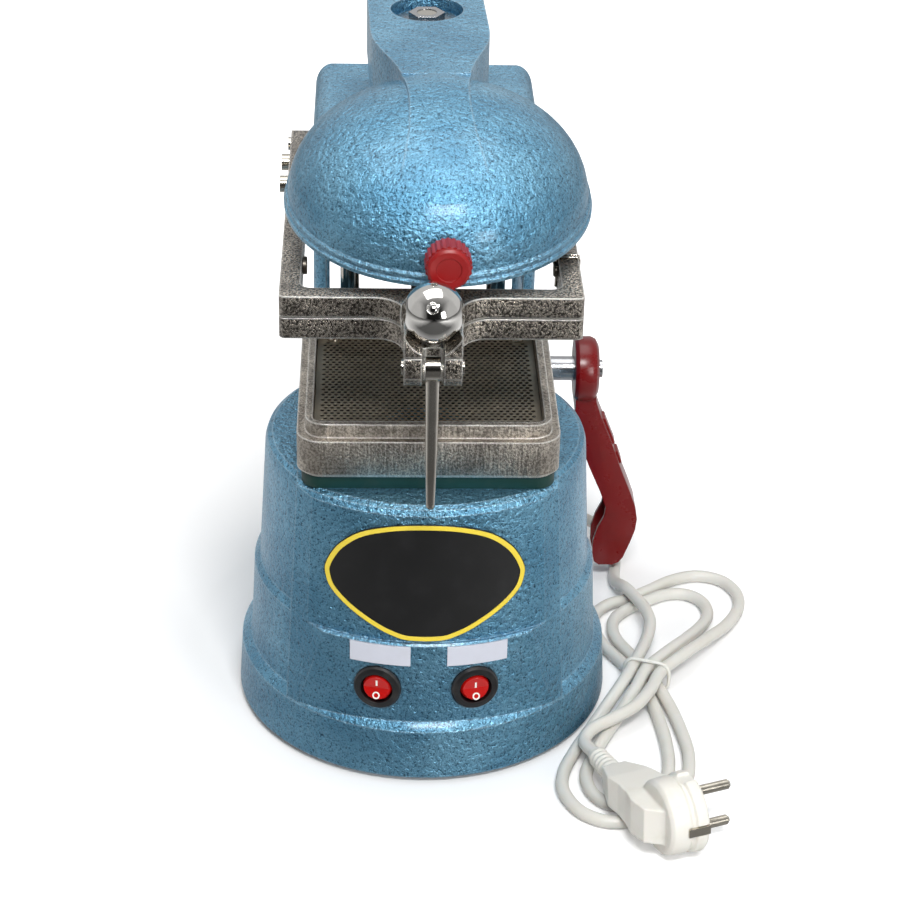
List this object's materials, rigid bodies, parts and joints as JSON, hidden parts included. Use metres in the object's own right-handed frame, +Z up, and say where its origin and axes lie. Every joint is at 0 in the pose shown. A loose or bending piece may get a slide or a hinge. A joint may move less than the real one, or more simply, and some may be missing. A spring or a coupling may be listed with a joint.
{
  "type": "dental vacuum former",
  "caption": "Bench vacuum former for dental sheet: blue cast base and column, lever lift with square sheet frames, ball clamp, perforated chamber and swing-away heater hood.",
  "frame": {"origin": "middle of the machine's footprint on the bench, with the free mains lead left out", "axes": "+Z up, front with the two rocker switches toward -Y, lever on the +X side"},
  "size_m": [0.2666, 0.3328, 0.3146],
  "materials": {
    "blue_enamel": "speckled hammer finish enamel",
    "zinc_steel": "zinc plated",
    "bright_steel": "ground",
    "black_rubber": "matt",
    "teal_rubber": "matt",
    "badge_enamel": "gloss black with a yellow rim",
    "label_white": "printed film, bare",
    "switch_black": "moulded",
    "rocker_red": "translucent red",
    "white_plastic": "flexible pvc",
    "cast_aluminium": "as cast",
    "nickel_cast": "nickel plated sand casting",
    "armature_copper": "wound wire",
    "dark_steel": "satin",
    "nickel_screws": "nickel plated",
    "bronze": "sintered",
    "red_gloss": "gloss enamel",
    "chrome_plate": "polished",
    "fire_clay": "fired"
  },
  "bodies": {
    "machine": {"base_casting": "blue_enamel", "base_plate": "zinc_steel", "rubber_feet": "black_rubber", "base_screws": "zinc_steel", "badge_plate": "badge_enamel", "label_strips": "label_white", "switch_housings": "switch_black", "cord_gland": "white_plastic", "terminal_block": "white_plastic", "motor_seal": "black_rubber", "fan_housing": "zinc_steel", "motor_frame": "zinc_steel", "motor_cradle": "black_rubber", "chamber_pad": "teal_rubber", "vacuum_chamber": "nickel_cast", "perforated_plate": "dark_steel", "plate_screws": "nickel_screws", "column_housing": "blue_enamel", "column_bolts": "zinc_steel", "guide_rods": "bright_steel", "shaft_bushes": "bronze", "pivot_post": "bright_steel", "post_collar": "bright_steel", "post_nut": "zinc_steel", "cord_lead": "white_plastic", "cord_hank": "white_plastic", "cord_tail": "white_plastic", "cord_tie": "white_plastic", "plug_body": "white_plastic", "plug_pins": "nickel_screws", "plug_clip": "nickel_screws"},
    "forming_rocker_body": {"forming_rocker": "rocker_red"},
    "heating_rocker_body": {"heating_rocker": "rocker_red"},
    "motor_rotor": {"impeller": "cast_aluminium", "motor_armature": "armature_copper"},
    "lever_and_shaft": {"lift_shaft": "bright_steel", "pinion_gear": "bright_steel", "lever_arm": "red_gloss", "lever_screw": "zinc_steel"},
    "frame_lift": {"carriage": "cast_aluminium", "gear_rack": "bright_steel", "carriage_bushes": "bronze", "frame_screws": "zinc_steel", "lower_frame": "nickel_cast", "upper_frame": "nickel_cast", "hinge_pins": "bright_steel", "clamp_pin": "bright_steel"},
    "swing_bolt": {"clamp_bolt": "dark_steel"},
    "ball": {"ball_nut": "chrome_plate"},
    "handle": {"clamp_handle": "chrome_plate"},
    "heater_head": {"heater_hood": "blue_enamel", "hood_bush": "bronze", "heat_shield": "zinc_steel", "heater_former": "fire_clay", "heating_coil": "armature_copper", "hood_knob": "red_gloss", "knob_stud": "zinc_steel"}
  },
  "joints": [
    {"name": "lever_turn", "type": "hinge", "parent": "machine", "child": "lever_and_shaft", "pos_m": [-0.01215, 0.06968, 0.1255], "axis": [1, 0, 0], "range_deg": [-178, 0]},
    {"name": "frame_lift_slide", "type": "slide", "parent": "machine", "child": "frame_lift", "axis": [0, 0, 1], "range_m": [-0.06059, 0]},
    {"name": "head_swing", "type": "hinge", "parent": "machine", "child": "heater_head", "pos_m": [-0.01215, 0.09168, 0.29], "axis": [0, 0, 1], "range_deg": [-118, 118]},
    {"name": "bolt_swing", "type": "hinge", "parent": "frame_lift", "child": "swing_bolt", "pos_m": [-0.01215, -0.12832, 0.22808], "axis": [1, 0, 0], "range_deg": [0, 65]},
    {"name": "ball_turn", "type": "hinge", "parent": "swing_bolt", "child": "ball", "pos_m": [-0.01215, -0.12832, 0.25438], "axis": [0, 0, 1], "continuous": true},
    {"name": "handle_swing", "type": "hinge", "parent": "frame_lift", "child": "handle", "pos_m": [-0.01215, -0.12832, 0.22808], "axis": [1, 0, 0], "range_deg": [-50, 0]},
    {"name": "forming_rocker_tilt", "type": "hinge", "parent": "machine", "child": "forming_rocker_body", "pos_m": [-0.0347, -0.11211, 0.05045], "axis": [0.9734, -0.2292, 0], "range_deg": [0, 14]},
    {"name": "heating_rocker_tilt", "type": "hinge", "parent": "machine", "child": "heating_rocker_body", "pos_m": [0.0104, -0.11211, 0.05045], "axis": [0.9734, 0.2292, 0], "range_deg": [0, 14]},
    {"name": "motor_spin", "type": "hinge", "parent": "machine", "child": "motor_rotor", "pos_m": [-0.01215, -0.03033, 0.08], "axis": [0, 0, 1], "continuous": true}
  ],
  "couplings": [
    {"joint": "frame_lift_slide", "follows": "lever_turn", "m_per_rad": 0.0195}
  ]
}
